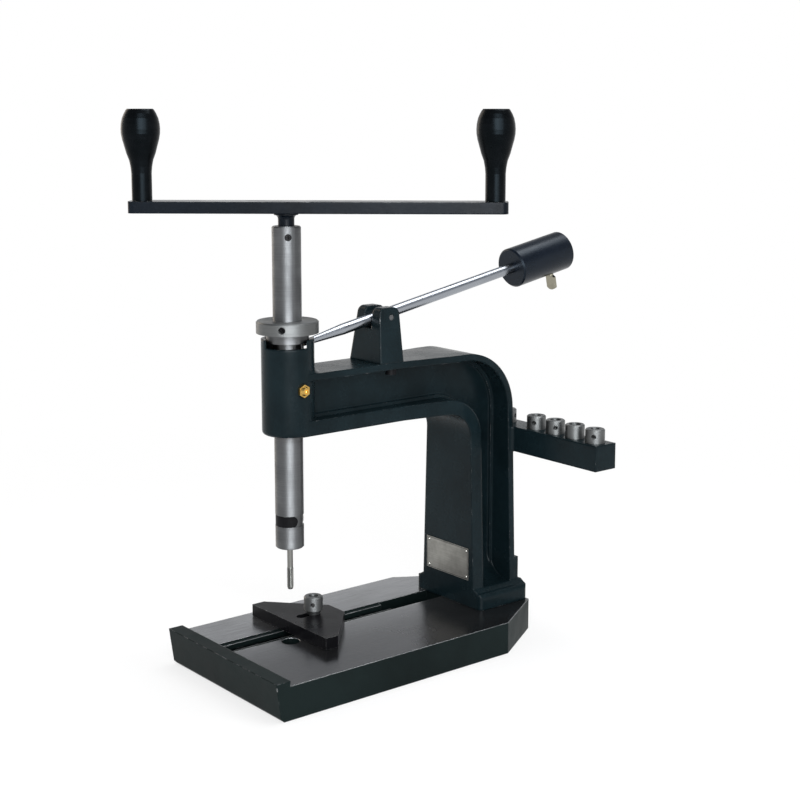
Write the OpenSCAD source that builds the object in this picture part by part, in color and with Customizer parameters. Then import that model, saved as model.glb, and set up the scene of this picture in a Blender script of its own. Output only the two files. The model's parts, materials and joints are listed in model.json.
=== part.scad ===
// Manual tapping machine for the bench: a C-shaped cast frame on a slotted base,
// a hand-cranked spindle that slides and turns in the head, and a weighted lever
// that carries the spindle from below through a thrust ring.
// The origin is where the spindle axis meets the bench. +Z is up, the machine
// faces -Y, and its column stands towards +Y. All sizes are in millimetres.

/* [Base] */
// Width of the base
base_w = 171; // [150:1:210]
// Distance from the spindle axis to the front of the base
base_front = 74; // [64:1:90]
// Thickness of the base under its ground top
base_t = 29.5; // [25:0.5:38]
// Cut-off at each rear corner, across the base
corner_x = 37; // [20:1:50]
// Cut-off at each rear corner, along the base
corner_y = 61; // [30:1:90]
// Depth of the lip along the front edge, front to back
lip_t = 14; // [10:0.5:20]
// Height of the front lip above the ground top
lip_h = 4.5; // [1:0.5:8]
// Diameter of the clearance hole under the tap
tap_hole_d = 16; // [10:0.5:20]

/* [T slot] */
// Distance from the spindle axis to the middle of the slot
slot_offset = 21.5; // [21.5:0.5:30]
// Width of the slot's channel, and of the shallow step along its top
slot_w = 24; // [20:0.5:30]
// Depth of the step along the top of the slot
slot_step = 1; // [0.5:0.25:2]
// Width of the slot between its lips
slot_gap = 14; // [12:0.5:16]
// Depth from the top of the base to the channel
slot_neck = 6; // [4:0.5:8]
// Height of the channel
channel_h = 8; // [6:0.5:11]
// Length of the wide place in front of the foot where the nut goes in
entry_l = 59; // [40:1:70]

/* [Frame casting] */
// Distance from the spindle axis to the front of the column
throat = 183; // [150:1:230]
// Depth of the column, front to back
column_d = 53.5; // [46:1:70]
// Width of the column at the foot
column_w = 74; // [62:1:90]
// Width of the column and arm where they meet
neck_w = 62; // [52:1:76]
// Width of the foot
foot_w = 94; // [86:1:112]
// Height of the foot flange
foot_h = 18; // [12:0.5:24]
// How far the foot flange stands out behind the column
foot_heel = 7.5; // [4:0.5:12]
// Clear height from the top of the base to the arm
clear_h = 188.5; // [150:1:230]
// Height of the arm
arm_h = 54; // [45:1:66]
// Radius of the outer bend between arm and column
bend_r = 56; // [46:1:68]
// Radius of the inner bend between arm and column
throat_r = 24; // [14:1:30]
// Thickness of the web between the side pockets
web_t = 14; // [10:0.5:20]
// Width of the rim round the outside of the side pockets
rim_t = 6; // [4:0.5:9]
// Width of the flange round the inside of the side pockets
flange_t = 13; // [9:0.5:17]
// Slope of the pocket walls, as a step in from rim to web
pocket_draft = 3; // [1.5:0.25:4]
// Radius of the pocket's corners
pocket_r = 8; // [5:0.5:12]

/* [Head] */
// Height of the head rim above the arm
head_rise = 22.5; // [16:1:34]
// Height of the guard wall on the head rim
guard_h = 7; // [4:0.5:9]
// Thickness of the guard wall
guard_t = 3.5; // [2.5:0.25:5]
// Depth of the recess inside the head rim
head_recess = 5; // [3.5:0.5:7]
// Width of the notch that lets the lever through the guard
notch_w = 14; // [12:0.5:18]
// Wall of the two spindle bushes
bush_wall = 3.5; // [2.5:0.25:5]
// Length of each spindle bush
bush_len = 30; // [20:1:34]

/* [Spindle] */
// Diameter of the spindle
spindle_d = 25; // [20:0.5:30]
// Distance from the foot of the spindle to the stop collar
spindle_below = 190; // [175:0.5:220]
// Distance from the underside of the stop collar to the top of the spindle
spindle_above = 91.5; // [75:1:125]
// Gap between the head rim and the stop collar
collar_gap = 12; // [11:0.5:16]
// Radial width of the stop collar
collar_wall = 14.5; // [10:0.5:18]
// Height of the stop collar
collar_h = 10.5; // [8:0.5:14]
// Radial width of the thrust ring
ring_wall = 6; // [5:0.25:8]
// Diameter of the tap sockets
socket_d = 18; // [14:0.5:19]
// Length of the tap sockets
socket_h = 30; // [26:1:36]
// Height of the spring band and of its groove
band_h = 10; // [7:0.5:12]
// Diameter of the tap thread
tap_d = 6; // [3:0.5:8]
// Length of tap that stands out of its socket
tap_out = 38.5; // [25:1:50]

/* [Crank] */
// Distance from the spindle axis to the grip on the long arm
long_arm = 177; // [140:1:230]
// Distance from the spindle axis to the grip on the short arm
short_arm = 122.5; // [100:1:170]
// Width of the crank bar
bar_w = 25; // [20:0.5:32]
// Thickness of the crank bar
bar_t = 10; // [8:0.5:14]
// Direction of the long arm at rest, from +X towards +Y
crank_angle = 49; // [0:1:90]
// Diameter of the stub below the crank bar
stub_d = 14; // [11:0.5:16]
// Length of stub that shows between spindle and bar
stub_gap = 11; // [8:0.5:20]
// Height of the grips
grip_h = 77; // [65:1:100]
// Largest diameter of the grips
grip_d = 33; // [26:0.5:40]

/* [Balance lever] */
// Distance from the spindle axis to the lever pivot
pivot_y = 101; // [90:1:120]
// Height of the lever pivot above the arm
pivot_rise = 40; // [37:0.5:48]
// Diameter of the lever rod
lever_d = 10; // [8:0.25:12]
// Diameter of the pivot pin
pin_d = 5; // [4:0.25:6]
// Diameter of the counterweight
weight_d = 38; // [32:0.5:46]
// Length of the counterweight
weight_l = 68; // [55:1:90]
// Distance from the pivot to the counterweight
weight_pos = 163.5; // [160:1:200]

/* [Work stop] */
// Length of the stop's front edge
stop_w = 116; // [90:1:130]
// Depth of the stop, front edge to nose
stop_d = 54.5; // [46:0.5:62]
// Thickness of the stop plate
stop_t = 11; // [8:0.5:15]
// Distance from the spindle axis to the stop's front edge
stop_y = 10; // [9:0.5:20]
// Diameter of the clamp screw's head
clamp_d = 17.5; // [15:0.5:22]
// Height of the clamp screw's head
clamp_h = 12.5; // [11:0.5:20]

/* [Tool rack] */
// Distance from the middle of the machine to the end of the rack
rack_reach = 141; // [140:1:170]
// Depth of the rack, front to back
rack_d = 24.5; // [22:0.5:30]
// Height of the rack
rack_h = 23.5; // [20:0.5:28]
// Distance from the bottom of the arm down to the top of the rack
rack_drop = 21; // [14:1:40]
// Distance between neighbouring sockets in the rack
socket_pitch = 25.4; // [22:0.5:28]
// Height of socket that stands out of the rack
socket_proud = 12.5; // [8:0.5:14]

/* [Hidden] */
// Radial clearance of parts that turn or slide in each other
run_clear = 0.05;
// Clearance between faces that pass each other
slide_clear = 0.3;
// Clearance hole around a fastener
bolt_clear = 0.5;

// Heights of the frame
arm_bottom = base_t + clear_h;
arm_top = arm_bottom + arm_h;
rim_z = arm_top + head_rise;
recess_z = rim_z - head_recess;
guard_z = rim_z + guard_h;
foot_z = base_t + foot_h;

// Places along the frame
column_back = throat + column_d;
base_rear = column_back + foot_heel;
bend_y = column_back - bend_r;
bend_z = arm_top - bend_r;
heel_h = 22;
heel_d = 4.5;
foot_slope = 3;
foot_corner = 5;
sweep_r = 24;

// Head and spindle
spindle_r = spindle_d / 2;
bush_r = spindle_r + bush_wall;
ring_r = spindle_r + ring_wall;
guard_gap = 1;
recess_r = ring_r + guard_gap;
head_r = recess_r + guard_t;
collar_r = spindle_r + collar_wall;
collar_z = rim_z + collar_gap;
spindle_z = collar_z - spindle_below;
spindle_top = collar_z + spindle_above;
head_edge = 3.5;
head_fillet = 5;
guard_open = 1.5 * head_r;
guard_open_angle = -39;
oiler_z = (arm_bottom + recess_z) / 2 + 5;
oiler_d = 6;
oiler_hex = 10;
oiler_seat = 0.6;

// Spindle nose, with the spring band 20 mm above its end
band_z = spindle_z + 20;
band_t = 0.8;
groove_r = spindle_r - 1;
socket_z = spindle_z;
detent_d = 4;
detent_drop = 6;
detent_z = socket_z + socket_h - detent_drop;
band_end = -2;
band_gap_angle = 70;
detent_angle = 150;
socket_bore_r = socket_d / 2 + run_clear;

// Tap
shank_r = 0.46 * tap_d;
square_w = 1.4 * shank_r;
tap_z = spindle_z - tap_out;
thread_l = 20;
tap_top = spindle_z + 22;

// Crank
bar_z = spindle_top + stub_gap;
bar_top = bar_z + bar_t;
bar_end = 11;
bar_corner = 6;
stub_depth = 25;
stub_flare = 3.5;
grip_bolt_d = 8;
grip_z = bar_top + slide_clear;
grip_stem_r = 8.6;
grip_top_r = 11;
bolt_head_d = 16;
bolt_head_h = 3;
bolt_sink = 1;
set_screw_d = 6;
set_screw_drop = 9;
crank_screw_angle = -28;
collar_screw_angle = -45;
arm_signs = [1, -1];

// Lever
pivot_z = arm_top + pivot_rise;
nose_r = 2.5;
nose_gap = 0.5;
nose_clear = 2.4;
ring_z = collar_z - 8;
nose_y = spindle_r + nose_r + nose_clear;
nose_z = ring_z - nose_gap - nose_r;
lever_front = sqrt(pow(pivot_y - nose_y, 2) + pow(pivot_z - nose_z, 2));
lever_tilt = atan2(pivot_z - nose_z, pivot_y - nose_y);
taper_l = 42;
weight_end = weight_pos + weight_l;
thumb_pos = weight_pos + 50;
thumb_d = 6;

// Lever post
post_w = head_r * 2 - 1;
post_top_w = 31;
post_front = pivot_y - 17;
post_rear = pivot_y + 9;
post_lean = 4;
post_z = pivot_z + 9;
post_round = 6;
cheek_gap = lever_d + 1;
post_screw_x = 16.5;
post_screw_d = 6;
post_screw_depth = 12;

// Front face of the base, which leans in towards the bench
front_lean = 4.5;
front_round = 3;

// T slot and work stop
slot_x = -slot_offset;
channel_top = base_t - slot_neck;
channel_z = channel_top - channel_h;
slot_front = lip_t + 2 - base_front;
slot_rear = throat + 2;
stop_end = 13;
stop_nose_w = 24;
stop_shift = 2.5;
stop_top = base_t + slide_clear + stop_t;
tongue_h = 2.5;
clamp_y = stop_y + 30;
clamp_shank_d = 8;
clamp_neck_h = 4;
clamp_hole_d = 4;
clamp_slide = 14;
nut_l = 30;

// Rack
rack_top = arm_bottom - rack_drop;
rack_z = rack_top - rack_h;
rack_far = neck_w / 2;
rack_y = column_back + rack_d / 2;
rack_fillet = 5.5;
rack_side = neck_w / 2 + (column_w - neck_w) / 2 * (rack_drop + rack_h / 2) / clear_h;
socket_hole_h = socket_h - socket_proud;
rack_end_gap = 14;
rack_bores = [6, 9, 8, 6.5, 5, 4];
// The sockets stand in one row, with a step where the column passes
function rack_x(i) = rack_reach - rack_end_gap - socket_pitch * i - (i > 3 ? 15 : 0);

// Name plate, bolts and rivets
plate_w = 60;
plate_h = 31;
plate_t = 1;
plate_z = foot_z + 8;
rivet_d = 2.4;
rivet_inset = 3;
bolt_d = 10;
bolt_head = 16;
bolt_sink_h = 11;
bolt_grip = 14;
bolt_x = [-34, 34];
bolt_y = [throat + 14, base_rear - 13];

$fn = 48;

// Colours
casting_paint = [0.10, 0.14, 0.15];
ground_iron = [0.42, 0.42, 0.43];
bright_steel = [0.72, 0.73, 0.74];
black_steel = [0.06, 0.06, 0.07];
bar_paint = [0.14, 0.16, 0.18];
bakelite = [0.05, 0.06, 0.06];
bronze = [0.70, 0.50, 0.24];
brass = [0.80, 0.62, 0.22];

// Turns a part of the spindle's crank to its resting direction
module on_crank() {
    rotate([0, 0, crank_angle]) children();
}

// Puts children at the lever pivot, with +Y along the rod towards the weight
module on_lever() {
    translate([0, pivot_y, pivot_z]) rotate([lever_tilt, 0, 0]) children();
}

// Extrudes a side view, drawn in Y and Z, across the machine
module across(width) {
    rotate([90, 0, 90]) linear_extrude(width, center = true) children();
}

// Extrudes a front view, drawn in X and Z, along the machine
module along(from, to) {
    translate([0, to, 0]) rotate([90, 0, 0]) linear_extrude(to - from) children();
}

// A radial cylinder, between two distances from the spindle axis
module radial(angle, z, d, from, to) {
    rotate([0, 0, angle]) translate([from, 0, z]) rotate([0, 90, 0]) cylinder(h = to - from, d = d);
}

// A round tube standing on z
module tube(z, h, outer_r, inner_r) {
    translate([0, 0, z]) difference() {
        cylinder(h = h, r = outer_r);
        translate([0, 0, -1]) cylinder(h = h + 2, r = inner_r);
    }
}

// A hexagon socket, cut down from z
module hex_socket(size, depth) {
    translate([0, 0, -depth]) cylinder(h = depth + 1, d = size / cos(30), $fn = 6);
}

module base_outline() {
    half = base_w / 2;
    polygon([
        [-half, lip_t - base_front - 1], [half, lip_t - base_front - 1],
        [half, base_rear - corner_y], [half - corner_x, base_rear],
        [corner_x - half, base_rear], [-half, base_rear - corner_y]
    ]);
}

module base_plate() {
    color(ground_iron) difference() {
        union() {
            linear_extrude(base_t) base_outline();
            // Front edge with its lip, in side view
            across(base_w) polygon([
                [front_lean + front_round - base_front, 0], [lip_t - base_front, 0],
                [lip_t - base_front, base_t + lip_h], [-base_front, base_t + lip_h],
                [front_lean - base_front, front_round]
            ]);
        }
        // T slot, closed at both ends: channel, gap, step, and the nut's entry
        slot_cut(slot_w, slot_front, channel_z, channel_top);
        slot_cut(slot_gap, slot_front, channel_z, base_t + 1);
        slot_cut(slot_w, slot_front, base_t - slot_step, base_t + 1);
        slot_cut(slot_w, throat - entry_l, channel_z, base_t + 1);
        translate([0, 0, -1]) cylinder(h = base_t + 2, d = tap_hole_d);
        // Holes for the column bolts, sunk from below
        for (x = bolt_x, y = bolt_y) translate([x, y, -1]) {
            cylinder(h = base_t + 2, d = bolt_d + bolt_clear);
            cylinder(h = bolt_sink_h + 1, d = bolt_head + 1);
        }
    }
}

// A cut along the slot, between two heights
module slot_cut(width, front, low, high) {
    translate([slot_x - width / 2, front, low]) cube([width, slot_rear - front, high - low]);
}

// Side view of arm and column, without the head and the foot
module frame_side() {
    difference() {
        union() {
            translate([0, arm_bottom]) square([column_back, arm_h]);
            translate([throat, base_t]) square([column_d, arm_top - base_t]);
        }
        translate([bend_y, bend_z]) difference() {
            square(bend_r + 1);
            circle(bend_r, $fn = 96);
        }
    }
    translate([throat - throat_r, arm_bottom - throat_r]) difference() {
        square([throat_r + 1, throat_r + 1]);
        circle(throat_r);
    }
}

// A rectangle with round corners, given by its lowest and highest corners
module round_box(low, high, r) {
    size = high - low;
    translate(low + [r, 0]) square([size[0] - 2 * r, size[1]]);
    translate(low + [0, r]) square([size[0], size[1] - 2 * r]);
    for (x = [low[0] + r, high[0] - r], y = [low[1] + r, high[1] - r]) translate([x, y]) circle(r);
}

// Side view of the pocket between the flanges; step draws it smaller all round
module pocket_side(step) {
    r = pocket_r - step;
    outer_r = bend_r - rim_t - step;
    front = throat + flange_t + step;
    high = arm_top - rim_t - step;
    back = column_back - rim_t - step;
    difference() {
        union() {
            round_box([step - pocket_r, arm_bottom + flange_t + step], [bend_y, high], r);
            round_box([front, foot_z - pocket_r - 1 + step], [back, bend_z], r);
            translate([throat - throat_r, arm_bottom - throat_r])
                square([back - throat + throat_r, high - arm_bottom + throat_r]);
        }
        // Round the outer bend, and keep the flange round the inner one
        translate([bend_y, bend_z]) difference() {
            square(outer_r + 1);
            circle(outer_r, $fn = 96);
        }
        translate([throat - throat_r, arm_bottom - throat_r])
            circle(throat_r + flange_t + step, $fn = 96);
    }
}

// Plan of the arm, which widens from the head to the column
module arm_plan() {
    near = head_r - 0.5;
    wide = neck_w / 2 + 1;
    polygon([
        [near, 0], [near, post_rear], [wide, throat], [foot_w, throat], [foot_w, base_rear],
        [-foot_w, base_rear], [-foot_w, throat], [-wide, throat], [-near, post_rear], [-near, 0]
    ]);
}

// Front view of the column, which widens towards the foot
module column_front() {
    low = column_w / 2;
    high = neck_w / 2;
    polygon([
        [low, base_t], [high, arm_bottom], [high - 1, arm_top + 1],
        [1 - high, arm_top + 1], [-high, arm_bottom], [-low, base_t]
    ]);
}

// Fillet all round an upright cylinder, standing on z
module ring_fillet(z, r, fillet) {
    translate([0, 0, z]) rotate_extrude() difference() {
        translate([r - 1, -1]) square([fillet + 1, fillet + 1]);
        translate([r + fillet, fillet]) circle(fillet);
    }
}

module head_shape() {
    height = rim_z - arm_bottom;
    translate([0, 0, arm_bottom]) rotate_extrude() union() {
        square([head_r - head_edge, height]);
        translate([0, head_edge]) square([head_r, height - head_edge]);
        translate([head_r - head_edge, head_edge]) circle(head_edge);
    }
    intersection() {
        ring_fillet(arm_top, head_r, head_fillet);
        translate([-head_r, 0, arm_top - 1]) cube([2 * head_r - 1, head_r * 2, head_fillet + 2]);
    }
    // Guard wall round the thrust ring, open towards the operator's right
    difference() {
        tube(rim_z - 1, guard_h + 1, head_r, recess_r);
        rotate([0, 0, guard_open_angle]) translate([0, -guard_open / 2, rim_z])
            cube([head_r + 1, guard_open, guard_h + 1]);
    }
}

// Foot flange, with a top that slopes away from the column, and the heel behind it
module foot_shape() {
    low = foot_w / 2;
    mid = column_w / 2;
    side = low - foot_corner;
    shoulder = foot_z - foot_slope - foot_corner;
    intersection() {
        linear_extrude(foot_z + 1) round_box([-low, throat], [low, base_rear], foot_corner);
        along(throat, base_rear) {
            polygon([
                [-low, base_t], [low, base_t], [low, shoulder], [side, shoulder + foot_corner],
                [mid, foot_z], [-mid, foot_z], [-side, shoulder + foot_corner], [-low, shoulder]
            ]);
            for (x = [-side, side]) translate([x, shoulder]) circle(foot_corner);
        }
    }
    translate([1 - mid, column_back - 1, foot_z - 1]) cube([column_w - 2, heel_d + 1, heel_h + 1]);
}

// Rack for the spare sockets, cast on the back of the column
module rack_shape() {
    translate([-rack_far, column_back - 1, rack_z]) cube([rack_reach + rack_far, rack_d + 1, rack_h]);
    // Fillet between the column's side and the rack
    translate([rack_side, column_back - rack_fillet, rack_z]) difference() {
        translate([-2, 0, 0]) cube([rack_fillet + 2, rack_fillet + 1, rack_h]);
        translate([rack_fillet, 0, -1]) cylinder(h = rack_h + 2, r = rack_fillet);
    }
    // Fillet under the rack, along the column's back
    across(2 * rack_far) translate([column_back, rack_z - rack_fillet]) difference() {
        translate([-1, 0]) square([rack_fillet + 1, rack_fillet + 1]);
        translate([rack_fillet, 0]) circle(rack_fillet);
    }
}

// Hollow sweep from the web down to the foot, at the bottom of each side pocket
module pocket_sweep() {
    along(throat + flange_t - 1, column_back - rim_t + 1)
        for (side = [0, 1]) mirror([side, 0]) translate([web_t / 2, foot_z]) difference() {
            translate([-1, -1]) square(sweep_r + 1);
            translate([sweep_r, sweep_r]) circle(sweep_r);
        }
}

// Arm and column with their side pockets, which run into the head and the foot
module arm_and_column() {
    depth = foot_w / 2;
    difference() {
        intersection() {
            across(foot_w) frame_side();
            linear_extrude(arm_top + 1) arm_plan();
            along(-1, base_rear) column_front();
        }
        // The pocket walls meet the web with a step
        for (side = arm_signs) {
            translate([side * (web_t / 2 + pocket_draft + depth / 2), 0, 0]) across(depth) pocket_side(0);
            translate([side * (web_t / 2 + depth / 2), 0, 0]) across(depth) pocket_side(pocket_draft);
        }
    }
}

module frame_casting() {
    color(casting_paint) difference() {
        union() {
            arm_and_column();
            head_shape();
            foot_shape();
            rack_shape();
            pocket_sweep();
        }
        // Bore for the bushes, and the recess for the thrust ring
        translate([0, 0, arm_bottom - 1]) cylinder(h = recess_z - arm_bottom + 2, r = bush_r);
        translate([0, 0, recess_z]) cylinder(h = head_recess + guard_h + 1, r = recess_r);
        translate([-notch_w / 2, 0, recess_z]) cube([notch_w, head_r + 5, head_recess + guard_h + 1]);
        // Oil hole, with a spot face for the oiler's flange
        radial(0, oiler_z, oiler_d, bush_r - 1, head_r + 5);
        radial(0, oiler_z, oiler_hex + 3, head_r - oiler_seat, head_r + 5);
        // Holes for the spare sockets
        for (i = [0:5]) translate([rack_x(i), rack_y, rack_top - socket_hole_h])
            cylinder(h = socket_hole_h + 1, r = socket_bore_r);
        // Holes for the bolts from below
        for (x = bolt_x, y = bolt_y) translate([x, y, base_t - 1]) cylinder(h = bolt_grip + 1, d = bolt_d);
        // Holes for the screws that hold the lever post
        for (side = arm_signs) translate([side * post_screw_x, pivot_y - 1, arm_top - rim_t - 10])
            cylinder(h = rim_t + 20, d = post_screw_d + bolt_clear);
    }
}

module column_bolts() {
    color(black_steel) for (x = bolt_x, y = bolt_y) translate([x, y, 0]) difference() {
        union() {
            translate([0, 0, bolt_sink_h - bolt_d]) cylinder(h = bolt_d, d = bolt_head);
            translate([0, 0, bolt_sink_h - 1]) cylinder(h = base_t + bolt_grip - bolt_sink_h, d = bolt_d - 0.1);
        }
        translate([0, 0, bolt_sink_h - bolt_d]) mirror([0, 0, 1]) hex_socket(8, 5);
    }
}

module name_plate() {
    color(bright_steel) difference() {
        translate([-plate_w / 2, throat - plate_t, plate_z]) cube([plate_w, plate_t, plate_h]);
        plate_corners() translate([0, 0, -1]) cylinder(h = 4, d = rivet_d);
    }
}

module plate_corners() {
    reach = plate_w / 2 - rivet_inset;
    for (x = [-reach, reach], z = [plate_z + rivet_inset, plate_z + plate_h - rivet_inset])
        translate([x, throat, z]) rotate([90, 0, 0]) children();
}

module plate_rivets() {
    color(bright_steel) plate_corners() {
        cylinder(h = plate_t + 0.2, d = rivet_d);
        translate([0, 0, plate_t]) cylinder(h = 0.7, d1 = rivet_d + 1, d2 = rivet_d);
    }
}

module bush(z) {
    color(bronze) tube(z, bush_len, bush_r, spindle_r + run_clear);
}

module upper_bush() {
    bush(recess_z - bush_len);
}

module lower_bush() {
    bush(arm_bottom);
}

module ball_oiler() {
    flange_h = 2.5;
    dome_h = 3;
    color(brass) {
        radial(0, oiler_z, oiler_d, bush_r + 1, head_r);
        rotate([0, 90, 0]) translate([-oiler_z, 0, head_r - oiler_seat]) {
            cylinder(h = flange_h, d = oiler_hex / cos(30), $fn = 6);
            translate([0, 0, flange_h - 0.5]) difference() {
                cylinder(h = dome_h, d1 = oiler_hex - 1, d2 = oiler_hex - 4);
                translate([0, 0, dome_h]) sphere(d = 3.4);
            }
        }
    }
}

module lever_post() {
    half = post_w / 2;
    top = post_top_w / 2;
    color(casting_paint) difference() {
        intersection() {
            along(post_front, post_rear) polygon([
                [-half, arm_top], [half, arm_top], [top, post_z], [-top, post_z]
            ]);
            across(post_w) union() {
                polygon([
                    [post_front, arm_top], [post_rear, arm_top], [post_rear, post_z - post_round],
                    [post_front + post_lean, post_z - post_round]
                ]);
                translate([post_front + post_lean + post_round, arm_top])
                    square([post_rear - post_front - post_lean - 2 * post_round, post_z - arm_top]);
                for (y = [post_front + post_lean + post_round, post_rear - post_round])
                    translate([y, post_z - post_round]) circle(post_round);
            }
        }
        translate([-cheek_gap / 2, post_front - 1, pivot_z - lever_d]) cube([cheek_gap, post_w, lever_d * 3]);
        translate([-post_w, pivot_y, pivot_z]) rotate([0, 90, 0]) cylinder(h = post_w * 2, d = pin_d);
        for (side = arm_signs) translate([side * post_screw_x, pivot_y - 1, arm_top - 1])
            cylinder(h = post_screw_depth + 1, d = post_screw_d);
    }
}

module post_screws() {
    head_h = 5;
    color(black_steel) for (side = arm_signs)
        translate([side * post_screw_x, pivot_y - 1, arm_top - rim_t]) difference() {
            union() {
                translate([0, 0, -head_h]) cylinder(h = head_h, d = 10);
                translate([0, 0, -1]) cylinder(h = rim_t + post_screw_depth, d = post_screw_d - 0.1);
            }
            translate([0, 0, -head_h]) mirror([0, 0, 1]) hex_socket(5, 2.5);
        }
}

module pivot_pin() {
    length = post_top_w + 2;
    color(bright_steel) translate([-length / 2, pivot_y, pivot_z]) rotate([0, 90, 0])
        cylinder(h = length, d = pin_d);
}

module balance_lever() {
    color(bright_steel) on_lever() difference() {
        union() {
            translate([0, -lever_front + taper_l, 0]) rotate([-90, 0, 0])
                cylinder(h = lever_front - taper_l + weight_end - 3, d = lever_d);
            translate([0, -lever_front, 0]) rotate([-90, 0, 0])
                cylinder(h = taper_l, r1 = nose_r, r2 = lever_d / 2);
            translate([0, -lever_front, 0]) sphere(r = nose_r);
        }
        translate([-lever_d, 0, 0]) rotate([0, 90, 0]) cylinder(h = lever_d * 2, d = pin_d + 2 * run_clear);
    }
}

module counterweight() {
    edge = 1.5;
    color(black_steel) on_lever() difference() {
        translate([0, weight_pos, 0]) rotate([-90, 0, 0]) {
            cylinder(h = edge, d1 = weight_d - 2 * edge, d2 = weight_d);
            translate([0, 0, edge]) cylinder(h = weight_l - 2 * edge, d = weight_d);
            translate([0, 0, weight_l - edge]) cylinder(h = edge, d1 = weight_d, d2 = weight_d - 2 * edge);
        }
        translate([0, weight_pos - 1, 0]) rotate([-90, 0, 0])
            cylinder(h = weight_l + 2, d = lever_d + 2 * run_clear);
        translate([0, thumb_pos, -weight_d]) cylinder(h = weight_d, d = thumb_d + 0.1);
    }
}

module thumb_screw() {
    paddle_w = 11;
    paddle_h = 15;
    paddle_t = 3;
    start = -lever_d / 2 - slide_clear;
    color(bright_steel) on_lever() translate([0, thumb_pos, 0]) {
        translate([0, 0, -weight_d / 2 - 2]) cylinder(h = weight_d / 2 + 2 + start, d = thumb_d);
        intersection() {
            translate([-paddle_w / 2, -paddle_t / 2, -weight_d / 2 - 1 - paddle_h])
                cube([paddle_w, paddle_t, paddle_h]);
            translate([0, 0, -weight_d / 2 - 1 - paddle_h / 2]) rotate([90, 0, 0])
                cylinder(h = paddle_t, d = paddle_h, center = true);
        }
    }
}

module thrust_ring() {
    color(bright_steel) tube(ring_z, collar_z - ring_z - 0.1, ring_r, spindle_r + run_clear);
}

module spindle() {
    edge = 1;
    color(bright_steel) difference() {
        translate([0, 0, spindle_z]) {
            cylinder(h = edge, r1 = spindle_r - edge, r2 = spindle_r);
            translate([0, 0, edge]) cylinder(h = spindle_top - spindle_z - 2 * edge, r = spindle_r);
            translate([0, 0, spindle_top - spindle_z - edge]) cylinder(h = edge, r1 = spindle_r, r2 = spindle_r - edge);
        }
        // Socket for the tap sockets, and the groove of the spring band
        translate([0, 0, spindle_z - 1]) cylinder(h = socket_h + 2, r = socket_bore_r);
        tube(band_z, band_h, spindle_r + 1, groove_r);
        radial(detent_angle, detent_z, detent_d + 0.2, socket_d / 2 - 2, spindle_r + 1);
        // Bore for the crank stub and its set screw
        translate([0, 0, spindle_top - stub_depth]) cylinder(h = stub_depth + 1, d = stub_d + 0.1);
        radial(crank_screw_angle, spindle_top - set_screw_drop, set_screw_d + 0.1, stub_d / 2 - 1, spindle_r + 1);
    }
}

module stop_collar() {
    edge = 1;
    color(bright_steel) difference() {
        translate([0, 0, collar_z]) {
            cylinder(h = collar_h - edge, r = collar_r);
            translate([0, 0, collar_h - edge]) cylinder(h = edge, r1 = collar_r, r2 = collar_r - edge);
        }
        translate([0, 0, collar_z - 1]) cylinder(h = collar_h + 2, r = spindle_r);
        radial(collar_screw_angle, collar_z + collar_h / 2, set_screw_d + 0.1, spindle_r - 1, collar_r + 1);
    }
}

// A headless set screw with a hexagon socket in its outer end
module set_screw(angle, z, from, length) {
    color(black_steel) rotate([0, 0, angle]) translate([from, 0, z]) rotate([0, 90, 0]) difference() {
        cylinder(h = length, d = set_screw_d);
        translate([0, 0, length]) hex_socket(3, 2.5);
    }
}

module collar_screw() {
    set_screw(collar_screw_angle, collar_z + collar_h / 2, spindle_r, 9);
}

module stub_screw() {
    set_screw(crank_screw_angle, spindle_top - set_screw_drop, stub_d / 2, spindle_r - stub_d / 2 - 0.4);
}

module crank_bar() {
    r = bar_corner;
    x0 = -short_arm - bar_end;
    x1 = long_arm + bar_end;
    color(bar_paint) on_crank() translate([0, 0, bar_z]) difference() {
        linear_extrude(bar_t) {
            translate([x0 + r, -bar_w / 2]) square([x1 - x0 - 2 * r, bar_w]);
            translate([x0, -bar_w / 2 + r]) square([x1 - x0, bar_w - 2 * r]);
            for (x = [x0 + r, x1 - r], y = [-bar_w / 2 + r, bar_w / 2 - r]) translate([x, y]) circle(r);
        }
        for (x = [-short_arm, long_arm]) translate([x, 0, -1]) cylinder(h = bar_t + 2, d = grip_bolt_d);
    }
}

// Stub that is welded under the bar and clamped in the top of the spindle
module crank_stub() {
    top = bar_z;
    color(bar_paint) {
        translate([0, 0, top - stub_gap]) rotate_extrude() difference() {
            square([stub_d / 2 + stub_flare, stub_gap]);
            translate([stub_d / 2 + stub_flare, stub_gap - stub_flare - 1.5]) circle(stub_flare);
            translate([stub_d / 2, -1]) square([stub_flare + 1, stub_gap - stub_flare - 0.5]);
        }
        translate([0, 0, top - stub_gap - stub_depth + 1]) cylinder(h = stub_depth, d = stub_d);
    }
}

module grip_bolts() {
    head_z = grip_z + grip_h - bolt_sink - bolt_head_h;
    color(black_steel) on_crank() for (x = [-short_arm, long_arm]) translate([x, 0, 0]) difference() {
        union() {
            translate([0, 0, bar_z + 1]) cylinder(h = head_z - bar_z, d = grip_bolt_d - 0.02);
            translate([0, 0, head_z]) cylinder(h = bolt_head_h, d = bolt_head_d);
        }
        translate([-bolt_head_d, -1, head_z + bolt_head_h - 1.2]) cube([bolt_head_d * 2, 2, 3]);
    }
}

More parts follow.
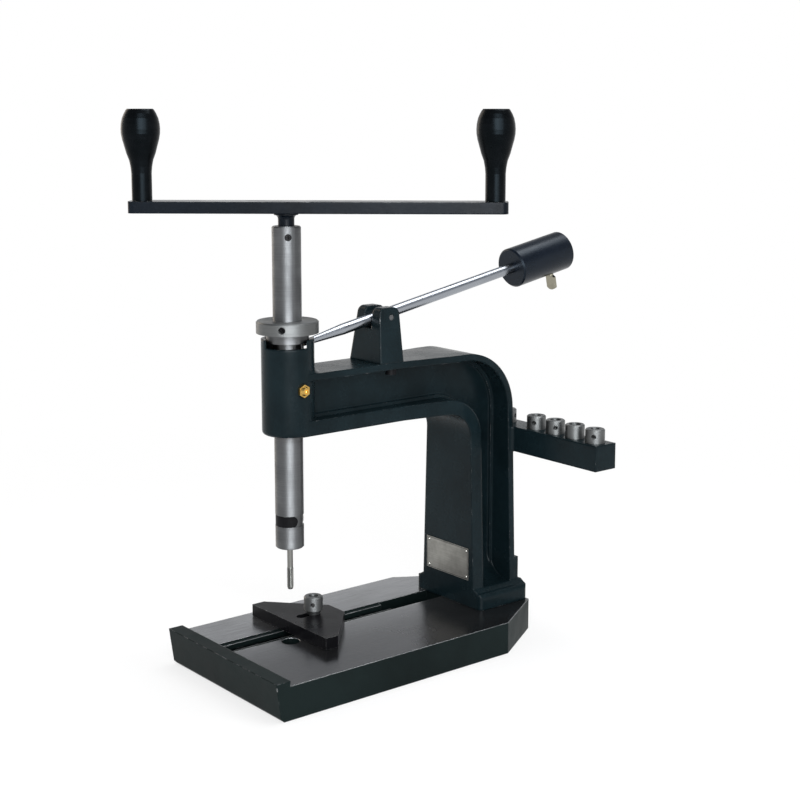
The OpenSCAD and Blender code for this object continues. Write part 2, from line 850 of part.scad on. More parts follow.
// Half section of a grip: a straight stem that swells to a pear shape
function grip_points() = [
    [grip_stem_r, 0], [grip_stem_r, 0.30 * grip_h], [grip_stem_r + 0.5, 0.37 * grip_h],
    [grip_stem_r + 1.5, 0.44 * grip_h], [0.375 * grip_d, 0.52 * grip_h], [0.425 * grip_d, 0.60 * grip_h],
    [0.47 * grip_d, 0.67 * grip_h], [0.495 * grip_d, 0.73 * grip_h], [0.5 * grip_d, 0.78 * grip_h],
    [0.49 * grip_d, 0.84 * grip_h], [0.46 * grip_d, 0.90 * grip_h], [0.41 * grip_d, 0.95 * grip_h],
    [grip_top_r + 1, 0.985 * grip_h], [grip_top_r, grip_h]
];

module grip(x) {
    color(bakelite) on_crank() translate([x, 0, grip_z]) difference() {
        rotate_extrude() polygon(concat([[0, 0]], grip_points(), [[0, grip_h]]));
        translate([0, 0, -1]) cylinder(h = grip_h + 2, d = grip_bolt_d + 2 * run_clear);
        translate([0, 0, grip_h - bolt_sink - bolt_head_h - slide_clear])
            cylinder(h = grip_h, d = bolt_head_d + 1);
    }
}

module long_grip() {
    grip(long_arm);
}

module short_grip() {
    grip(-short_arm);
}

// A wedge that spans an angle from zero, for cutting rings
module sector(angle, r, z, h) {
    steps = 12;
    translate([0, 0, z]) linear_extrude(h)
        polygon(concat([[0, 0]], [for (i = [0:steps]) r * [cos(angle * i / steps), sin(angle * i / steps)]]));
}

// Black spring band in the spindle's groove, with one round end in view
module spring_band() {
    play = 0.3;
    outer_r = groove_r + band_t;
    height = band_h - 2 * play;
    tip = asin(height / 2 / outer_r);
    color(black_steel) difference() {
        tube(band_z + play, height, outer_r, groove_r);
        // The gap, with its ends left round
        difference() {
            rotate([0, 0, band_end - tip])
                sector(band_gap_angle + 2 * tip, spindle_r * 2, band_z, band_h);
            for (angle = [band_end - tip, band_end + band_gap_angle + tip])
                radial(angle, band_z + band_h / 2, height + 1, groove_r - 2, spindle_r + 2);
        }
        radial(detent_angle, detent_z, detent_d, 0, spindle_r + 1);
    }
}

module detent_pin() {
    color(bright_steel) radial(detent_angle, detent_z, detent_d, socket_d / 2 - 1.5, groove_r + band_t);
}

// A tap socket, standing on z, with a bore of its own size and a detent hole
module socket_body(z, bore_d, angle) {
    top_d = min(bore_d + 2, socket_d - 6);
    edge = 0.8;
    difference() {
        translate([0, 0, z]) {
            cylinder(h = socket_h - edge, d = socket_d);
            translate([0, 0, socket_h - edge]) cylinder(h = edge, d1 = socket_d, d2 = socket_d - 2 * edge);
        }
        translate([0, 0, z - 1]) cylinder(h = socket_h + 2, d = bore_d);
        translate([0, 0, z + socket_h - 8]) cylinder(h = 9, d = top_d);
        radial(angle, z + socket_h - detent_drop, detent_d + 0.4, 0, socket_d);
    }
}

module tap_socket() {
    color(bright_steel) socket_body(socket_z, 2 * shank_r + 0.1, detent_angle);
}

module tap() {
    lead = 4;
    flutes = 3;
    color(bright_steel) difference() {
        union() {
            translate([0, 0, tap_z]) {
                cylinder(h = lead, d1 = tap_d * 0.75, d2 = tap_d);
                translate([0, 0, lead]) cylinder(h = thread_l - lead, d = tap_d);
                translate([0, 0, thread_l]) cylinder(h = 1.5, d1 = tap_d, d2 = 2 * shank_r);
            }
            translate([0, 0, tap_z + thread_l]) cylinder(h = tap_top - 4 - tap_z - thread_l, r = shank_r);
            translate([-square_w / 2, -square_w / 2, tap_top - 5]) cube([square_w, square_w, 5]);
        }
        for (i = [0:flutes - 1]) rotate([0, 0, i * 360 / flutes + 20])
            translate([tap_d * 0.52, 0, tap_z - 1]) cylinder(h = thread_l, d = tap_d * 0.42);
    }
}

module stop_outline() {
    half = stop_w / 2;
    nose = stop_nose_w / 2;
    polygon([
        [-half, 0], [half, 0], [half, stop_end], [nose, stop_d], [-nose, stop_d], [-half, stop_end]
    ]);
}

module work_stop() {
    play = slide_clear;
    slot_r = clamp_shank_d / 2 + play;
    color(black_steel) translate([slot_x, stop_y, base_t + play]) difference() {
        union() {
            translate([stop_shift, 0, 0]) linear_extrude(stop_t) stop_outline();
            // Tongue that keeps the stop square in the slot
            translate([-slot_gap / 2 + play, 4, -tongue_h])
                cube([slot_gap - 2 * play, stop_d - 8, tongue_h + 1]);
        }
        // Slotted hole for the clamp screw
        translate([0, clamp_y - stop_y, -tongue_h - 1]) {
            cylinder(h = stop_t + tongue_h + 2, r = slot_r);
            translate([0, -clamp_slide, 0]) cylinder(h = stop_t + tongue_h + 2, r = slot_r);
            translate([-slot_r, -clamp_slide, 0]) cube([2 * slot_r, clamp_slide, stop_t + tongue_h + 2]);
        }
    }
}

module slot_nut() {
    play = slide_clear;
    body_h = channel_h - 2 * play;
    color(black_steel) translate([slot_x, clamp_y, channel_z + play]) difference() {
        union() {
            translate([-slot_w / 2 + play, -nut_l / 2, 0]) cube([slot_w - 2 * play, nut_l, body_h]);
            translate([-slot_gap / 2 + play, -nut_l / 2, 0]) cube([slot_gap - 2 * play, nut_l, body_h + 2.5]);
        }
        translate([0, 0, -1]) cylinder(h = channel_h + 4, d = clamp_shank_d + 2 * run_clear);
    }
}

module clamp_screw() {
    neck_d = 12;
    edge = 1;
    start = stop_top + 0.1;
    head_z = start + clamp_neck_h;
    color(bright_steel) translate([slot_x, clamp_y, 0]) difference() {
        union() {
            translate([0, 0, channel_z + 1]) cylinder(h = head_z - channel_z, d = clamp_shank_d);
            translate([0, 0, start]) cylinder(h = clamp_neck_h, d1 = neck_d, d2 = clamp_d - 2);
            translate([0, 0, head_z]) cylinder(h = clamp_h - edge, d = clamp_d);
            translate([0, 0, head_z + clamp_h - edge]) cylinder(h = edge, d1 = clamp_d, d2 = clamp_d - 2 * edge);
        }
        // Crossed holes for a tommy bar, and a shallow dish in the top
        for (angle = [-40, 50]) rotate([0, 0, angle]) translate([-clamp_d, 0, head_z + clamp_h / 2])
            rotate([0, 90, 0]) cylinder(h = clamp_d * 2, d = clamp_hole_d);
        translate([0, 0, head_z + clamp_h - 1.5]) cylinder(h = 2, d = clamp_d / 2);
    }
}

module spare_socket(i) {
    turn = [-54, 110, -44, -59, 20, 90];
    color(bright_steel) translate([rack_x(i), rack_y, 0])
        socket_body(rack_top - socket_hole_h, rack_bores[i], turn[i]);
}

base_plate();
frame_casting();
column_bolts();
name_plate();
plate_rivets();
upper_bush();
lower_bush();
ball_oiler();
lever_post();
post_screws();
pivot_pin();
balance_lever();
counterweight();
thumb_screw();
thrust_ring();
spindle();
stop_collar();
collar_screw();
crank_bar();
crank_stub();
stub_screw();
grip_bolts();
long_grip();
short_grip();
spring_band();
detent_pin();
tap_socket();
tap();
work_stop();
slot_nut();
clamp_screw();
spare_socket(0);  // spare_socket_1
spare_socket(1);  // spare_socket_2
spare_socket(2);  // spare_socket_3
spare_socket(3);  // spare_socket_4
spare_socket(4);  // spare_socket_5
spare_socket(5);  // spare_socket_6
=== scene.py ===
"""Looks for a manual tapping machine: materials, finer pieces, light and camera."""

import json
import math

import bpy
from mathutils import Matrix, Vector


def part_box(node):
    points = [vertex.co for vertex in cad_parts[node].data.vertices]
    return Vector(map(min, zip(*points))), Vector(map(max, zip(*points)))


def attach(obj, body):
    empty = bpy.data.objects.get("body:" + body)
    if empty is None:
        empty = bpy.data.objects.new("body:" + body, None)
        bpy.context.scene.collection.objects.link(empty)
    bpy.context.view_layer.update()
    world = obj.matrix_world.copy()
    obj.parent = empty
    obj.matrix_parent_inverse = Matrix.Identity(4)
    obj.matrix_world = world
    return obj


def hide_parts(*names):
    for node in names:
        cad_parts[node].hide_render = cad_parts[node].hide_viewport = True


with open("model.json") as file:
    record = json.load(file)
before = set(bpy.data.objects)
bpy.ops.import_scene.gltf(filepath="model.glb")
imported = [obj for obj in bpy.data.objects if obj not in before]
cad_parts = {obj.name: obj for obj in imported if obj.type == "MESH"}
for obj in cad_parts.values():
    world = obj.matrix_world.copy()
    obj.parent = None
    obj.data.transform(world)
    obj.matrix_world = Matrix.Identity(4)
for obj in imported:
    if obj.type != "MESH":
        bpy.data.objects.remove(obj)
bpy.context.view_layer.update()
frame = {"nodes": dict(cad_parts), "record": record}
NODES = frame["nodes"]
# The casting stands on the base's ground top
BASE_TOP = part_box("frame_casting")[0].z


# Materials


class Tree:
    """Builds one material's node tree. Coordinates are the object's own, in metres."""

    SOCKETS = {
        "base": "Base Color",
        "metal": "Metallic",
        "rough": "Roughness",
        "spec": "Specular IOR Level",
        "tint": "Specular Tint",
        "aniso": "Anisotropic",
        "aniso_turn": "Anisotropic Rotation",
        "tangent": "Tangent",
    }

    def __init__(self, name):
        self.mat = bpy.data.materials.new(name)
        self.mat.use_nodes = True
        self.nodes = self.mat.node_tree.nodes
        self.links = self.mat.node_tree.links
        self.nodes.clear()
        self.out = self.nodes.new("ShaderNodeOutputMaterial")
        self.shader = self.nodes.new("ShaderNodeBsdfPrincipled")
        self.links.new(self.shader.outputs["BSDF"], self.out.inputs["Surface"])
        self.coord = self.nodes.new("ShaderNodeTexCoord").outputs["Object"]
        self.bump_from = None

    def put(self, socket, value):
        if isinstance(value, bpy.types.NodeSocket):
            self.links.new(value, socket)
        elif isinstance(value, (tuple, list)) and len(value) == 3 and socket.type == "RGBA":
            socket.default_value = (*value, 1.0)
        else:
            socket.default_value = value

    def set(self, **values):
        for key, value in values.items():
            self.put(self.shader.inputs[self.SOCKETS[key]], value)

    def stretch(self, scale):
        """The coordinates scaled by axis, which draws noise out into lines."""
        n = self.nodes.new("ShaderNodeMapping")
        self.links.new(self.coord, n.inputs["Vector"])
        n.inputs["Scale"].default_value = scale
        return n.outputs["Vector"]

    def noise(self, scale, detail=4.0, rough=0.55, vector=None, distortion=0.0):
        n = self.nodes.new("ShaderNodeTexNoise")
        self.links.new(vector or self.coord, n.inputs["Vector"])
        n.inputs["Scale"].default_value = scale
        n.inputs["Detail"].default_value = detail
        n.inputs["Roughness"].default_value = rough
        n.inputs["Distortion"].default_value = distortion
        return n.outputs["Fac"]

    def math(self, op, a, b=0.0, clamp=False):
        n = self.nodes.new("ShaderNodeMath")
        n.operation = op
        n.use_clamp = clamp
        self.put(n.inputs[0], a)
        self.put(n.inputs[1], b)
        return n.outputs[0]

    def spread(self, value, low, high, to_low=0.0, to_high=1.0, smooth=False):
        """Maps low..high to to_low..to_high and holds the ends."""
        n = self.nodes.new("ShaderNodeMapRange")
        n.interpolation_type = "SMOOTHSTEP" if smooth else "LINEAR"
        n.clamp = True
        self.put(n.inputs["Value"], value)
        for key, v in (("From Min", low), ("From Max", high), ("To Min", to_low), ("To Max", to_high)):
            self.put(n.inputs[key], v)
        return n.outputs["Result"]

    def mix(self, fac, a, b):
        n = self.nodes.new("ShaderNodeMix")
        n.data_type = "RGBA"
        self.put(n.inputs["Factor"], fac)
        self.put(n.inputs["A"], a)
        self.put(n.inputs["B"], b)
        return n.outputs["Result"]

    def mix_value(self, fac, a, b):
        n = self.nodes.new("ShaderNodeMix")
        n.data_type = "FLOAT"
        self.put(n.inputs["Factor"], fac)
        self.put(n.inputs["A"], a)
        self.put(n.inputs["B"], b)
        return n.outputs["Result"]

    def bump(self, height, strength, distance):
        n = self.nodes.new("ShaderNodeBump")
        n.inputs["Strength"].default_value = strength
        n.inputs["Distance"].default_value = distance
        self.put(n.inputs["Height"], height)
        if self.bump_from is not None:
            self.links.new(self.bump_from, n.inputs["Normal"])
        self.links.new(n.outputs["Normal"], self.shader.inputs["Normal"])
        self.bump_from = n.outputs["Normal"]

    def soften(self, radius):
        """Lets the light see every edge and inside corner as rounded, as on a sand casting."""
        bevel = self.nodes.new("ShaderNodeBevel")
        bevel.samples = 8
        bevel.inputs["Radius"].default_value = radius
        self.links.new(bevel.outputs["Normal"], self.shader.inputs["Normal"])
        self.bump_from = bevel.outputs["Normal"]

    def edges(self, radius, low, high):
        """1 along edges and 0 on faces, from how far a rounded normal leans off the true one."""
        bevel = self.nodes.new("ShaderNodeBevel")
        bevel.samples = 6
        bevel.inputs["Radius"].default_value = radius
        true = self.nodes.new("ShaderNodeNewGeometry").outputs["Normal"]
        dot = self.nodes.new("ShaderNodeVectorMath")
        dot.operation = "DOT_PRODUCT"
        self.links.new(bevel.outputs["Normal"], dot.inputs[0])
        self.links.new(true, dot.inputs[1])
        lean = self.math("SUBTRACT", 1.0, dot.outputs["Value"], True)
        # Inside corners are shaded by their own walls and stay out
        open_air = self.nodes.new("ShaderNodeAmbientOcclusion")
        open_air.samples = 4
        open_air.only_local = True
        open_air.inputs["Distance"].default_value = radius * 3
        outside = self.spread(open_air.outputs["AO"], 0.80, 0.95)
        return self.math("MULTIPLY", self.spread(lean, low, high), outside)

    def axis(self, name, source=None):
        n = self.nodes.new("ShaderNodeSeparateXYZ")
        self.links.new(source or self.coord, n.inputs[0])
        return n.outputs[name]


def mottled(t, base, amount, scale):
    """The base colour, lighter and darker in soft patches."""
    lighter = tuple(min(1.0, c * (1 + amount)) for c in base)
    darker = tuple(c * (1 - amount) for c in base)
    return t.mix(t.spread(t.noise(scale, 5), 0.35, 0.65), darker, lighter)


BARE_METAL = (0.30, 0.30, 0.30)


def painted(name, base, rough, spec, orange_peel, cast, wear, soft=0.0, tint=(1.0, 1.0, 1.0)):
    """Paint or black oxide: mottled and dusty, and worn through to metal along the edges.

    cast is how rough the casting is under the paint, and soft the radius that its edges seem rounded to.
    """
    t = Tree(name)
    colour = mottled(t, base, 0.25, 18)
    dust = t.spread(t.noise(60, 6, 0.7), 0.52, 0.8, 0.0, 0.4)
    colour = t.mix(dust, colour, tuple(c * 1.6 + 0.003 for c in base))
    gloss = t.spread(t.noise(35, 5), 0.3, 0.7, rough * 0.82, rough * 1.2)
    if wear:
        edge = t.edges(0.0009, 0.05, 0.3)
        rub = t.math("MULTIPLY", edge, t.spread(t.noise(95, 7, 0.75), 0.60 - wear * 0.22, 0.66))
        colour = t.mix(rub, colour, BARE_METAL)
        gloss = t.mix_value(rub, gloss, 0.34)
        t.set(metal=t.math("MULTIPLY", rub, 0.85))
    t.set(base=colour, rough=gloss, spec=spec, tint=tint)
    if soft:
        t.soften(soft)
    t.bump(t.noise(900, 2), orange_peel, 0.00008)
    if cast:
        t.bump(t.noise(240, 6, 0.65), cast, 0.0006)
        t.bump(t.noise(22, 3), cast * 0.8, 0.0018)
    return t.mat


def steel(name, base, rough, rings=None, scratches=0.15, stain=0.1, aniso=0.0):
    """Turned or polished metal. rings is the axis it was turned about."""
    t = Tree(name)
    marks = None
    if rings:
        fine, long = 60, 0.4
        marks = t.noise(40, 3, 0.6, t.stretch([fine if axis == rings else long for axis in "XYZ"]))
    patch = t.noise(25, 5, 0.6)
    darker = tuple(c * (1 - stain * 1.8) for c in base)
    colour = t.mix(t.spread(patch, 0.45, 0.75), base, darker)
    gloss = t.spread(patch, 0.3, 0.75, rough * 0.8, rough * 1.3)
    if marks is not None:
        colour = t.mix(t.spread(marks, 0.3, 0.7, 0.0, 0.3), colour, tuple(c * 0.72 for c in base))
        gloss = t.math("ADD", gloss, t.spread(marks, 0.3, 0.7, -rough * 0.15, rough * 0.25))
        t.bump(marks, scratches, 0.00012)
    t.set(base=colour, rough=gloss, metal=1.0)
    if aniso:
        around = t.nodes.new("ShaderNodeTangent")
        around.direction_type = "RADIAL"
        around.axis = rings
        # The gloss spreads across the turning marks, so along the axis
        t.set(aniso=aniso, aniso_turn=0.25, tangent=around.outputs["Tangent"])
    if scratches:
        t.bump(t.noise(700, 3), 0.08, 0.00006)
    return t.mat


def base_iron():
    """Painted sides and a ground, bright top: the top is told by its height and its level normal."""
    t = Tree("base_iron")
    normal = t.nodes.new("ShaderNodeNewGeometry").outputs["Normal"]
    up = t.spread(t.axis("Z", normal), 0.75, 0.95)
    height = t.axis("Z")
    at_top = t.math("MULTIPLY", up, t.spread(height, BASE_TOP - 0.0008, BASE_TOP - 0.0002))
    below_lip = t.spread(height, BASE_TOP + 0.001, BASE_TOP + 0.002, 1.0, 0.0)
    ground = t.math("MULTIPLY", at_top, below_lip)
    paint = mottled(t, (0.0055, 0.0098, 0.0098), 0.25, 16)
    lines = t.noise(34, 4, 0.65, t.stretch((14, 0.7, 14)))
    cloud = t.noise(9, 5, 0.6, None, 0.6)
    # The ground top is painted brighter towards the left, in soft clouds, as a painted reflection, and
    # darker to the right
    left = t.spread(t.axis("X"), 0.05, -0.075, 0.15, 1.0, True)
    painted_reflection = t.math("MULTIPLY", left, t.spread(cloud, 0.25, 0.6, 0.55, 1.0))
    iron = t.mix(painted_reflection, (0.065, 0.067, 0.072), (0.420, 0.425, 0.435))
    iron = t.mix(t.spread(lines, 0.35, 0.75, 0.0, 0.3), iron, (0.045, 0.045, 0.048))
    edge = t.edges(0.0013, 0.04, 0.25)
    chips = t.math("MULTIPLY", edge, t.spread(t.noise(95, 7, 0.75), 0.50, 0.60))
    side = t.mix(chips, paint, (0.22, 0.22, 0.23))
    # The edges round the ground top are worn bare and painted brighter still as a painted highlight line
    near_top = t.math("MULTIPLY", t.spread(height, BASE_TOP - 0.0020, BASE_TOP - 0.0012), below_lip)
    patchy = t.spread(t.noise(40, 6, 0.7), 0.3, 0.6, 0.3, 1.0)
    rim_wear_and_highlight = t.math("MULTIPLY", t.math("MULTIPLY", edge, near_top), patchy)
    colour = t.mix(rim_wear_and_highlight, t.mix(ground, side, iron), (0.50, 0.51, 0.52))
    bare = t.math("MAXIMUM", t.math("MAXIMUM", rim_wear_and_highlight, ground), t.math("MULTIPLY", chips, 0.8))
    paint_gloss = t.spread(t.noise(30, 5), 0.3, 0.7, 0.34, 0.48)
    iron_gloss = t.spread(cloud, 0.3, 0.7, 0.17, 0.30)
    gloss = t.mix_value(ground, paint_gloss, iron_gloss)
    t.set(base=colour, metal=t.math("MULTIPLY", bare, 0.95), rough=gloss, spec=0.05)
    t.soften(0.0014)
    t.bump(t.noise(220, 6, 0.65), 0.18, 0.0004)
    t.bump(lines, 0.12, 0.00012)
    return t.mat


def plate_metal():
    """Brushed sheet with one thin black line engraved round its edge; the plate is bare otherwise."""
    t = Tree("plate_metal")
    low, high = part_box("name_plate")
    middle, half = (low + high) / 2, (high - low) / 2
    inset, line = 0.0009, 0.0002
    nearest = None
    for name, centre, reach in (("X", middle.x, half.x), ("Z", middle.z, half.z)):
        off = t.math("ABSOLUTE", t.math("SUBTRACT", t.axis(name), centre))
        from_edge = t.math("SUBTRACT", reach - inset, off)
        nearest = from_edge if nearest is None else t.math("MINIMUM", nearest, from_edge)
    border = t.spread(t.math("ABSOLUTE", nearest), line, line * 1.8, 1.0, 0.0)
    marks = t.noise(30, 3, 0.6, t.stretch((1.2, 60, 60)))
    patch = t.noise(45, 5, 0.65)
    metal = t.mix(t.spread(patch, 0.4, 0.7), (0.34, 0.335, 0.31), (0.21, 0.205, 0.19))
    metal = t.mix(t.spread(marks, 0.3, 0.7, 0.0, 0.4), metal, (0.15, 0.15, 0.14))
    t.set(
        base=t.mix(border, metal, (0.015, 0.015, 0.016)),
        metal=t.mix_value(border, 1.0, 0.0),
        rough=t.spread(patch, 0.3, 0.7, 0.34, 0.5),
    )
    t.bump(marks, 0.15, 0.0001)
    t.bump(t.math("SUBTRACT", 1.0, border), 0.4, 0.0001)
    return t.mat


def bakelite():
    """The grips' black moulding, smeared by hands."""
    t = Tree("bakelite")
    dust = t.spread(t.noise(60, 6, 0.7), 0.45, 0.75)
    colour = t.mix(dust, (0.0012, 0.0014, 0.0016), (0.0034, 0.0038, 0.0044))
    smear = t.noise(12, 5, 0.65, None, 0.8)
    t.set(base=colour, rough=t.spread(smear, 0.35, 0.7, 0.24, 0.32), spec=0.07, tint=(0.62, 0.84, 1.0))
    t.bump(t.noise(420, 3), 0.05, 0.00008)
    t.bump(t.noise(35, 3), 0.10, 0.0005)
    return t.mat


MATERIALS = {
    "casting_paint": painted(
        "casting_paint", (0.0048, 0.0106, 0.0132), 0.25,
        spec=0.085, orange_peel=0.3, cast=0.25, wear=0.22, soft=0.0026,
    ),
    "base_iron": base_iron(),
    "black_steel": painted(
        "black_steel", (0.004, 0.004, 0.005), 0.36,
        spec=0.08, orange_peel=0.1, cast=0.0, wear=0.4,
    ),
    "plate_metal": plate_metal(),
    "bronze": steel("bronze", (0.42, 0.26, 0.11), 0.36, rings="Z"),
    "brass": steel("brass", (0.56, 0.36, 0.10), 0.26, rings="X"),
    "bright_steel": steel("bright_steel", (0.195, 0.20, 0.205), 0.54, rings="Z", scratches=0.05, aniso=0.85),
    "lever_chrome": steel("lever_chrome", (0.33, 0.35, 0.38), 0.26, scratches=0, stain=0.06),
    "weight_black": painted(
        "weight_black", (0.0025, 0.004, 0.0075), 0.30,
        spec=0.24, orange_peel=0.15, cast=0.0, wear=0.2, tint=(0.68, 0.84, 1.0),
    ),
    "zinc": steel("zinc", (0.30, 0.285, 0.225), 0.36),
    "turned_steel": steel("turned_steel", (0.155, 0.16, 0.16), 0.48, rings="Z", scratches=0.12, aniso=0.5),
    "bar_paint": painted(
        "bar_paint", (0.0045, 0.0070, 0.0108), 0.24,
        spec=0.075, orange_peel=0.3, cast=0.10, wear=0.6, soft=0.0015,
    ),
    "bakelite": bakelite(),
    "tool_steel": steel("tool_steel", (0.20, 0.20, 0.19), 0.30),
    "stop_black": painted(
        "stop_black", (0.005, 0.005, 0.006), 0.30,
        spec=0.08, orange_peel=0.1, cast=0.12, wear=0.8,
    ),
}

# Width of the small bevel on the pieces that show one
BEVELS = {
    "crank_bar": 0.0016,
    "work_stop": 0.0007,
    "counterweight": 0.0006,
    "stop_collar": 0.0005,
    "clamp_screw": 0.0005,
    "name_plate": 0.0002,
    "thumb_screw": 0.0005,
    "slot_nut": 0.0004,
}


def dress():
    """Gives each node its slot's material, and a clean mesh and a bevel where one shows."""
    slots = {s["node"]: s["material_slot"] for s in frame["record"]["subparts"]}
    for name, obj in NODES.items():
        obj.data.materials.clear()
        obj.data.materials.append(MATERIALS[slots[name]])
        if name in BEVELS:
            weld = obj.modifiers.new("weld", "WELD")
            weld.merge_threshold = 1e-6
            flat = obj.modifiers.new("flat", "DECIMATE")
            flat.decimate_type = "DISSOLVE"
            flat.angle_limit = math.radians(0.3)
            bevel = obj.modifiers.new("bevel", "BEVEL")
            bevel.width = BEVELS[name]
            bevel.segments = 3
            bevel.limit_method = "ANGLE"
            bevel.angle_limit = math.radians(38)
            bevel.miter_outer = "MITER_ARC"
            even = obj.modifiers.new("even", "WEIGHTED_NORMAL")
            even.weight = 80
            even.keep_sharp = False


dress()


# Finer pieces


def turned(name, profile, rows, count=72):
    """A closed piece round the Z axis; profile(turn, z) gives its radius at each height in rows."""
    verts, faces = [], []
    for z in rows:
        for i in range(count):
            turn = math.tau * i / count
            r = profile(turn, z)
            verts.append((r * math.cos(turn), r * math.sin(turn), z))
    for j in range(len(rows) - 1):
        for i in range(count):
            k = (i + 1) % count
            faces.append((j * count + i, j * count + k, (j + 1) * count + k, (j + 1) * count + i))
    faces.append(tuple(reversed(range(count))))
    faces.append(tuple((len(rows) - 1) * count + i for i in range(count)))
    mesh = bpy.data.meshes.new(name)
    mesh.from_pydata(verts, [], faces)
    mesh.update()
    obj = bpy.data.objects.new(name, mesh)
    bpy.context.scene.collection.objects.link(obj)
    return obj


def threaded_tap():
    """The tap with its thread, taper lead, flutes, round shank and square end."""
    low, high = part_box("tap")
    major = (high.x - low.x) / 2
    pitch = 0.001
    thread_end = low.z + 0.020
    lead = 0.003
    shank = 0.85 * major
    square = 0.70 * shank
    flutes = 3
    flute_at, flute_r = 1.04 * major, 0.42 * major

    def flute_limit(turn):
        """How far out the metal reaches at this angle, inside the flutes' round cuts."""
        limit = major
        for i in range(flutes):
            off = turn - math.radians(20) - i * math.tau / flutes
            across, along = flute_at * math.sin(off), flute_at * math.cos(off)
            if along > 0 and abs(across) < flute_r:
                limit = min(limit, along - math.sqrt(flute_r ** 2 - across ** 2))
        return limit

    limits = {}

    def profile(turn, z):
        if z > high.z - 0.005:
            return min(shank, square / max(abs(math.cos(turn)), abs(math.sin(turn))))
        if z > thread_end:
            return shank
        if turn not in limits:
            limits[turn] = flute_limit(turn)
        step = ((z - low.z) / pitch - turn / math.tau) % 1.0
        crest = major - 0.5 * pitch * abs(2 * step - 1)
        rise = min(1.0, (z - low.z) / lead)
        start = major * (0.75 + 0.25 * rise)
        fade = min(1.0, max(0.0, (thread_end - z) / 0.0015))
        cut = limits[turn] * fade + shank * (1 - fade)
        return min(crest * fade + shank * (1 - fade), start, cut)

    rows = [low.z + i * pitch / 8 for i in range(int((thread_end - low.z) / pitch * 8) + 1)]
    rows += [thread_end + 0.0002, high.z - 0.0051, high.z - 0.0049, high.z]
    obj = turned("threaded_tap", profile, rows)
    obj.data.materials.append(MATERIALS["tool_steel"])
    obj.data.polygons.foreach_set("use_smooth", [True] * len(obj.data.polygons))
    obj.data.set_sharp_from_angle(angle=math.radians(35))
    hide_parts("tap")
    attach(obj, "spindle")


threaded_tap()


# Stage, light and camera


def emitter(name, size, place, aim, power, colour=(1, 1, 1), mirrored=True, lights=True):
    """A soft box. mirrored lets glossy surfaces show it, and lights lets it light matt ones."""
    data = bpy.data.lights.new(name, "AREA")
    data.shape = "RECTANGLE"
    data.size, data.size_y = size
    data.energy = power
    data.color = colour
    obj = bpy.data.objects.new(name, data)
    bpy.context.scene.collection.objects.link(obj)
    obj.location = place
    obj.rotation_euler = (Vector(aim) - Vector(place)).to_track_quat("-Z", "Y").to_euler()
    obj.visible_glossy = mirrored
    obj.visible_diffuse = lights


def seen_directly(nodes, links):
    """1 for rays from the camera, from a mirror-like surface or through glass."""
    path = nodes.new("ShaderNodeLightPath")
    total = path.outputs["Is Camera Ray"]
    for name in ("Is Glossy Ray", "Is Transmission Ray"):
        top = nodes.new("ShaderNodeMath")
        top.operation = "MAXIMUM"
        links.new(total, top.inputs[0])
        links.new(path.outputs[name], top.inputs[1])
        total = top.outputs[0]
    return total


def floor_material():
    """A pale floor that is white further off and keeps the machine's shadow close by."""
    t = Tree("floor")
    t.set(base=(0.84, 0.84, 0.84), rough=0.7, spec=0.1)
    white = t.nodes.new("ShaderNodeEmission")
    mix = t.nodes.new("ShaderNodeMixShader")
    away = t.nodes.new("ShaderNodeVectorMath")
    away.operation = "LENGTH"
    t.links.new(t.coord, away.inputs[0])
    share = t.spread(away.outputs["Value"], 0.25, 1.1, 0.72, 1.0, True)
    t.links.new(t.math("MULTIPLY", share, seen_directly(t.nodes, t.links)), mix.inputs["Fac"])
    t.links.new(t.shader.outputs["BSDF"], mix.inputs[1])
    t.links.new(white.outputs[0], mix.inputs[2])
    t.links.new(mix.outputs[0], t.out.inputs["Surface"])
    return t.mat


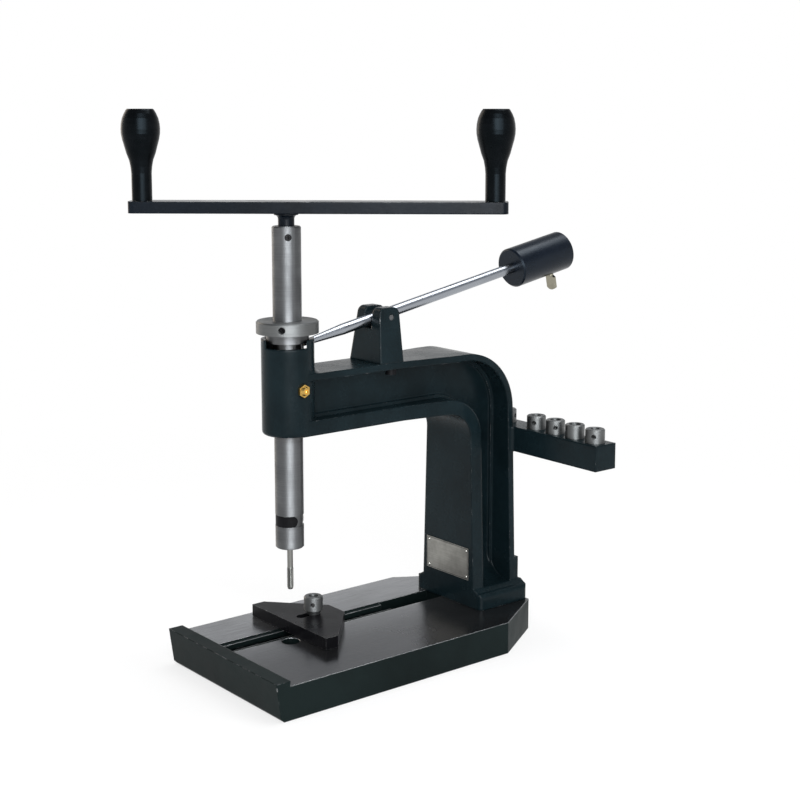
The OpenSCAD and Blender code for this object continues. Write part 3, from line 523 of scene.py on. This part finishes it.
def stage():
    """The floor, the white room and the lamps."""
    mesh = bpy.data.meshes.new("floor")
    half = 12.0
    corners = [(-half, -half, 0), (half, -half, 0), (half, half, 0), (-half, half, 0)]
    mesh.from_pydata(corners, [], [(0, 1, 2, 3)])
    floor = bpy.data.objects.new("floor", mesh)
    bpy.context.scene.collection.objects.link(floor)
    just_below = -0.0005
    floor.location.z = just_below
    mesh.materials.append(floor_material())

    world = bpy.data.worlds.new("studio")
    bpy.context.scene.world = world
    world.use_nodes = True
    nodes, links = world.node_tree.nodes, world.node_tree.links
    nodes.clear()
    out = nodes.new("ShaderNodeOutputWorld")
    white = nodes.new("ShaderNodeBackground")
    white.inputs["Color"].default_value = (1, 1, 1, 1)
    ceiling = nodes.new("ShaderNodeBackground")
    ceiling.inputs["Color"].default_value = (0.30, 0.32, 0.35, 1)
    soft = nodes.new("ShaderNodeBackground")
    soft.inputs["Color"].default_value = (0.95, 0.97, 1.0, 1)
    soft.inputs["Strength"].default_value = 0.42
    # The room is white round the machine and darker overhead
    up = nodes.new("ShaderNodeSeparateXYZ")
    links.new(nodes.new("ShaderNodeTexCoord").outputs["Generated"], up.inputs[0])
    rise = nodes.new("ShaderNodeMapRange")
    rise.interpolation_type = "SMOOTHSTEP"
    links.new(up.outputs["Z"], rise.inputs["Value"])
    rise.inputs["From Min"].default_value = 0.10
    rise.inputs["From Max"].default_value = 0.55
    room = nodes.new("ShaderNodeMixShader")
    links.new(rise.outputs["Result"], room.inputs["Fac"])
    links.new(white.outputs[0], room.inputs[1])
    links.new(ceiling.outputs[0], room.inputs[2])
    mix = nodes.new("ShaderNodeMixShader")
    links.new(seen_directly(nodes, links), mix.inputs["Fac"])
    links.new(soft.outputs[0], mix.inputs[1])
    links.new(room.outputs[0], mix.inputs[2])
    links.new(mix.outputs[0], out.inputs["Surface"])

    middle = (0, 0.08, 0.22)
    emitter("key", (1.3, 2.2), (1.80, -1.20, 1.15), middle, 44, (0.96, 0.98, 1.0))
    emitter("window", (1.9, 2.2), (2.05, -0.75, 1.15), middle, 90, (0.94, 0.97, 1.0), lights=False)
    emitter("front", (0.9, 1.2), (-0.5, -2.1, 1.3), middle, 8, mirrored=False)
    emitter("side", (0.6, 1.5), (2.0, 1.2, 1.2), middle, 16, mirrored=False)
    emitter("left", (0.8, 1.8), (-2.1, -0.2, 0.95), middle, 9, (1.0, 0.84, 0.66))
    emitter("top", (1.4, 1.4), (0.2, 0.7, 2.3), middle, 34)


stage()


def camera():
    """The photograph's viewpoint, solved from the machine's own lines in it."""
    data = bpy.data.cameras.new("camera")
    data.sensor_width = 36
    data.lens = 67.94
    data.shift_y = -0.08
    obj = bpy.data.objects.new("camera", data)
    bpy.context.scene.collection.objects.link(obj)
    obj.location = (1.0571, -0.7290, 0.5043)
    looks_down, looks_left = 8.918, 51.096
    obj.rotation_euler = (math.radians(90 - looks_down), 0, math.radians(looks_left))
    bpy.context.scene.camera = obj


camera()
bpy.context.scene.view_settings.view_transform = "Standard"
